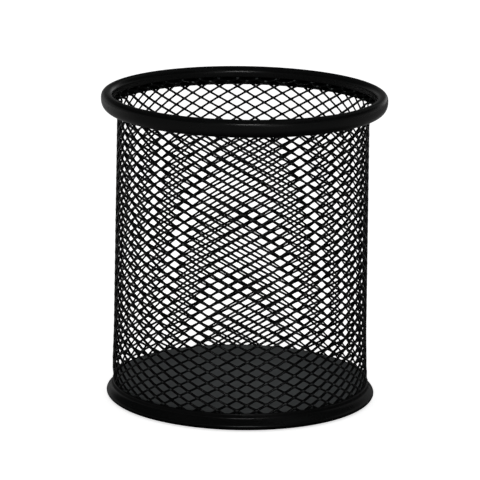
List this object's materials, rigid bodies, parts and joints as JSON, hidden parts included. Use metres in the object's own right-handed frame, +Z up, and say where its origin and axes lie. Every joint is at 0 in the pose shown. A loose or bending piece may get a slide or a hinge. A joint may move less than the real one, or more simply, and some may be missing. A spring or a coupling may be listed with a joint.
{
  "type": "mesh pencil cup",
  "caption": "Round open pencil cup with a slightly tapered wall of expanded steel mesh, a rolled top rim, a rolled base ring and a pressed steel floor.",
  "frame": {"origin": "middle of the foot, on the surface that the cup stands on", "axes": "+Z up along the cup's axis of revolution; the cup looks the same from +X and +Y"},
  "size_m": [0.0898, 0.0898, 0.098],
  "materials": {
    "mesh_coat": "satin black powder coat on expanded steel",
    "hoop_coat": "semi-gloss black powder coat on rolled steel strip",
    "plate_coat": "satin charcoal powder coat on pressed steel"
  },
  "bodies": {
    "root": {"mesh_wall": "mesh_coat", "top_rim": "hoop_coat", "base_ring": "hoop_coat", "base_plate": "plate_coat"}
  },
  "joints": []
}
